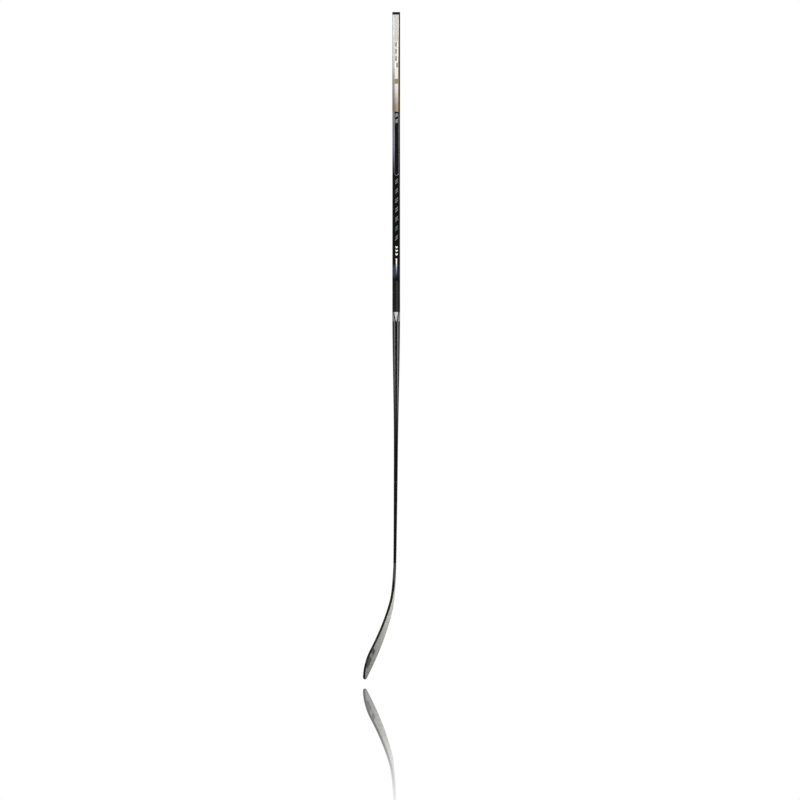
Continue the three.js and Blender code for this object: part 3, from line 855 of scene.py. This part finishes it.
def shaft():
    """The shaft as five lengths of one tube, each with its own paint, all standing for shaft_tube."""
    cuts = [shaft_top, GRIP_BOTTOM, MARKS_TOP, facet_top, FACET_SECTION_BOTTOM, shaft_bottom]
    paints = [
        ("shaft_grip", grip_paint(), "silver_lacquer"),
        ("shaft_panel", panel_paint(), "shaft_lacquer"),
        ("shaft_marks", marks_paint(), "shaft_lacquer"),
        ("shaft_facets", facet_paint("facet_black"), "shaft_lacquer"),
        ("shaft_taper", facet_paint("taper_black"), "shaft_lacquer"),
    ]
    for (name, material, slot), top, bottom in zip(paints, cuts, cuts[1:]):
        tube(
            name,
            section(shaft_outlines, top, bottom),
            material,
            chamfer_top=top == shaft_top,
            chamfer_bottom=bottom == shaft_bottom,
            nodes=["shaft_tube"],
        )


CAP_FILLET = 0.0012  # the radius of the rim's rounding
CAP_RIM = 0.0022  # how far from the outside the rim's inner edge is
CAP_DISH = 0.0006  # how deep the top is sunk, and how wide the slope down to it
FILLET_STEPS = 5


def butt():
    """The cap on the butt: a rounded rim, a dished top, and the ribbed plug inside the shaft."""
    mesh = bmesh.new()
    _, (_, rim, _), (cavity_top, cavity, _), *ledges, plug_end = cap_outlines
    head = rounded(rim)

    # The dished top, the rounded rim and the flange's side
    rings = [(CAP_DISH, drawn_in(head, CAP_RIM + CAP_DISH)), (0, drawn_in(head, CAP_RIM))]
    for step in range(FILLET_STEPS):
        turn = math.radians(90) * step / (FILLET_STEPS - 1)
        inset = CAP_FILLET * (1 - math.sin(turn))
        rings.append((CAP_FILLET * (1 - math.cos(turn)), drawn_in(head, inset)))
    rings.append((ledges[0][0] - END_CHAMFER, head))

    # The flange steps in to the plug, and then each rib steps out above and in again below
    for i, (depth, outer, inner) in enumerate(ledges):
        outer = drawn_in(head, END_CHAMFER) if i == 0 else rounded(outer)
        inwards = [(depth, outer), (depth, rounded(inner))]
        rings += inwards if i % 2 == 0 else inwards[::-1]

    # The plug's open end and its cavity
    depth, outer, inner = plug_end
    rings += [(depth, rounded(outer)), (depth, rounded(inner))]
    rings.append((cavity_top, rounded(cavity)))

    loops = [loop(mesh, outline, depth) for depth, outline in rings]
    for first, second in zip(loops, loops[1:]):
        bridge(mesh, first, second)
    mesh.faces.new(loops[0])
    mesh.faces.new(loops[-1])
    finished("butt_cap", mesh, butt_paint(), ["end_cap"])


def hosel():
    """The hollow hosel below the fused joint."""
    tube(
        "hosel_shell",
        hosel_outlines,
        hosel_paint(),
        chamfer_top=True,
        chamfer_bottom=True,
        nodes=["hosel_sleeve"],
    )


FLAT_ENOUGH = math.radians(20)  # how far two triangles may bend and still become one face
SQUARE_ENOUGH = math.radians(70)  # how far that face's corners may be from square
SHARP_EDGE = math.radians(55)  # edges that bend more stay sharp
SOFT_EDGE = math.radians(28)  # and edges that bend more than this get the crease below
SOFT_CREASE = 0.75
WELD = 1e-6  # points that are closer become one
SMOOTHING_LEVELS = 2


def smooth_copy(name, node, material):
    """A CAD solid with its facets smoothed out by subdivision, while its sharp edges stay sharp."""
    mesh = bmesh.new()
    mesh.from_mesh(frame["nodes"][node].data)
    bmesh.ops.remove_doubles(mesh, verts=mesh.verts, dist=WELD)
    bmesh.ops.join_triangles(
        mesh,
        faces=mesh.faces,
        angle_face_threshold=FLAT_ENOUGH,
        angle_shape_threshold=SQUARE_ENOUGH,
    )
    crease = mesh.edges.layers.float.new("crease_edge")
    for edge in mesh.edges:
        turn = edge.calc_face_angle(0)
        edge[crease] = 1 if turn > SHARP_EDGE else SOFT_CREASE if turn > SOFT_EDGE else 0
    piece = finished(name, mesh, material, [node])
    smoothing = piece.modifiers.new("smooth", "SUBSURF")
    smoothing.levels = smoothing.render_levels = SMOOTHING_LEVELS


def blade():
    """The blade's two faces and the two resin edges between them."""
    laminate, resin = blade_paint(), edge_paint()
    smooth_copy("forehand_face", "forehand_skin", laminate)
    smooth_copy("backhand_face", "backhand_skin", laminate)
    smooth_copy("top_edge", "top_edge_rail", resin)
    smooth_copy("sole_edge", "bottom_edge_rail", resin)


def repaint(node, material):
    """Gives a CAD node that stays in view a procedural material."""
    materials = frame["nodes"][node].data.materials
    materials.clear()
    materials.append(material)


def inner_parts():
    """Materials for the pieces that show only where the stick is cut open. They keep their CAD meshes."""
    foam_material, compound = foam(), moulding_compound()
    repaint("joint_tenon", raw_carbon("tenon_composite", TENON_PALE, rough=0.7))
    repaint("core_bridge", raw_carbon("bridge_carbon", BRIDGE_PALE, rough=0.6))
    repaint("upper_core", foam_material)
    repaint("lower_core", foam_material)
    repaint("heel_insert", compound)
    repaint("toe_insert", compound)
    repaint("damping_strip", rubber())


butt()
shaft()
hosel()
blade()
inner_parts()


# ---- Stage, light and camera ----

CAMERA_DISTANCE = 60.0
SENSOR_WIDTH = 36
FIELD = stick_height * 1.2  # the height of the view at the stick
HEADROOM = FIELD * 0.0151  # how much of it is above the stick
SIDE_OFFSET = 0.0097  # how far the camera is to the right of the shaft
FLOOR_GAP = 0.0112  # between the stick's lowest point and the floor
FLOOR_HALF_WIDTH = 24.0
FLOOR_NEAR = -24.0
FLOOR_FAR = 240.0
FLOOR_LIT = (0.4, 0.4, 0.4, 1)  # the floor's colour for the light that it throws back
FLOOR_IOR = 1.45
POLISH_FADE = (21.5, 8.0)  # the distances from the shaft where the polish ends and where it is full
POLISH_POWER = 3  # how steeply the polish drops away from the lowest angles
POLISH = 1.05
WHITE = (1, 1, 1, 1)

# The studio's glow along one axis of the direction: where it starts and ends to change, and its
# strength before and after that
BACK_GLOW = (0.8, 0.97, 0.0, 0.12)
LEFT_GLOW = (-0.4, -0.95, 0.0, 0.15)
SKY_GLOW = (0.15, 0.45, 0.02, 0.45)
OVERHEAD_DIM = (0.6, 0.85, 1.0, 0.3)
HORIZON_START = (0.002, 0.004, 0.0, 1.0)
HORIZON_END = (0.032, 0.028, 0.0, 1.0)

# The softboxes: each one's place from the middle of the stick, its size and its power in watts
SOFTBOXES = {
    "key": ((-3.4, -4.2, 3.0), 2.4, 330),
    "fill": ((4.5, -2.5, 3.2), 2.0, 400),
    "rim": ((0.5, 4.5, 3.5), 2.4, 100),
}


def floor():
    """A long floor, which ends between the stick and the camera."""
    corners = [
        (-FLOOR_HALF_WIDTH, FLOOR_NEAR),
        (FLOOR_HALF_WIDTH, FLOOR_NEAR),
        (FLOOR_HALF_WIDTH, FLOOR_FAR),
        (-FLOOR_HALF_WIDTH, FLOOR_FAR),
    ]
    level = cad_low.z - FLOOR_GAP
    data = bpy.data.meshes.new("floor")
    data.from_pydata([(x, y, level) for x, y in corners], [], [(0, 1, 2, 3)])
    plane = bpy.data.objects.new("floor", data)
    bpy.context.scene.collection.objects.link(plane)
    data.materials.append(floor_material())


def floor_material():
    """White, with a polish that fades away from the stick and mirrors it only at a very low angle."""
    paint = Paint("floor")
    nodes = paint.nodes
    lit = nodes.new("ShaderNodeBsdfDiffuse")
    lit.inputs["Color"].default_value = FLOOR_LIT
    shown = nodes.new("ShaderNodeEmission")
    matte = nodes.new("ShaderNodeMixShader")
    paint.feed(matte.inputs[0], nodes.new("ShaderNodeLightPath").outputs["Is Camera Ray"])
    paint.feed(matte.inputs[1], lit.outputs[0])
    paint.feed(matte.inputs[2], shown.outputs[0])
    mirror = nodes.new("ShaderNodeBsdfGlossy")
    mirror.inputs["Color"].default_value = WHITE
    mirror.inputs["Roughness"].default_value = 0.0
    grazing = nodes.new("ShaderNodeFresnel")
    grazing.inputs["IOR"].default_value = FLOOR_IOR
    squares = paint.total(paint.product(paint.x, paint.x), paint.product(paint.y, paint.y))
    near = paint.rise(paint.math("SQRT", squares), *POLISH_FADE)
    share = paint.product(paint.math("POWER", grazing.outputs[0], POLISH_POWER), near, POLISH)
    blend = nodes.new("ShaderNodeMixShader")
    paint.feed(blend.inputs[0], share)
    paint.feed(blend.inputs[1], matte.outputs[0])
    paint.feed(blend.inputs[2], mirror.outputs[0])
    paint.feed(nodes["Material Output"].inputs["Surface"], blend.outputs[0])
    nodes.remove(paint.shader)
    return paint.material


def world():
    """A studio with soft light from above all round, dim at the level of the stick and straight overhead.

    The camera sees plain white. A thin bright line just above the horizon keeps the polished floor white.
    """
    made = bpy.data.worlds.new("studio")
    bpy.context.scene.world = made
    made.use_nodes = True
    nodes, links = made.node_tree.nodes, made.node_tree.links
    split = nodes.new("ShaderNodeSeparateXYZ")
    links.new(nodes.new("ShaderNodeTexCoord").outputs["Generated"], split.inputs[0])

    def ramp(value, low, high, start, end):
        """A number that changes smoothly from start to end as the value goes from low to high."""
        node = nodes.new("ShaderNodeMapRange")
        node.interpolation_type = "SMOOTHSTEP"
        for socket, given in zip(node.inputs, (None, low, high, start, end)):
            if given is not None:
                socket.default_value = given
        links.new(value, node.inputs[0])
        return node.outputs[0]

    def combine(operation, first, second):
        node = nodes.new("ShaderNodeMath")
        node.operation = operation
        links.new(first, node.inputs[0])
        links.new(second, node.inputs[1])
        return node.outputs[0]

    x, y, z = split.outputs
    sides = combine("MAXIMUM", ramp(y, *BACK_GLOW), ramp(x, *LEFT_GLOW))
    above = combine("MULTIPLY", ramp(z, *SKY_GLOW), ramp(z, *OVERHEAD_DIM))
    line = combine("MULTIPLY", ramp(z, *HORIZON_START), ramp(z, *HORIZON_END))
    glow = combine("MAXIMUM", sides, combine("MAXIMUM", above, line))
    studio = nodes["Background"]
    studio.inputs["Color"].default_value = WHITE
    links.new(glow, studio.inputs["Strength"])
    seen = nodes.new("ShaderNodeBackground")
    seen.inputs["Color"].default_value = WHITE
    blend = nodes.new("ShaderNodeMixShader")
    links.new(nodes.new("ShaderNodeLightPath").outputs["Is Camera Ray"], blend.inputs[0])
    links.new(studio.outputs[0], blend.inputs[1])
    links.new(seen.outputs[0], blend.inputs[2])
    links.new(blend.outputs[0], nodes["World Output"].inputs["Surface"])


def softbox(name, place, size, power):
    """A square area light aimed at the middle of the stick, from a place measured from there."""
    data = bpy.data.lights.new(name, "AREA")
    data.size = size
    data.energy = power
    lamp = bpy.data.objects.new(name, data)
    middle = (cad_low + cad_high) / 2
    lamp.location = middle + Vector(place)
    lamp.rotation_euler = (-Vector(place)).to_track_quat("-Z", "Y").to_euler()
    bpy.context.scene.collection.objects.link(lamp)


def camera():
    """Level with the middle of the view, looking along +Y."""
    data = bpy.data.cameras.new("camera")
    data.sensor_width = SENSOR_WIDTH
    data.lens = data.sensor_width * CAMERA_DISTANCE / FIELD
    data.clip_end = FLOOR_FAR * 2
    made = bpy.data.objects.new("camera", data)
    made.location = (SIDE_OFFSET, -CAMERA_DISTANCE, cad_high.z + HEADROOM - FIELD / 2)
    made.rotation_euler = (math.pi / 2, 0, 0)
    bpy.context.scene.collection.objects.link(made)
    bpy.context.scene.camera = made


floor()
world()
for name, (place, size, power) in SOFTBOXES.items():
    softbox(name, place, size, power)
camera()
bpy.context.scene.view_settings.view_transform = "Standard"

bpy.context.view_layer.update()
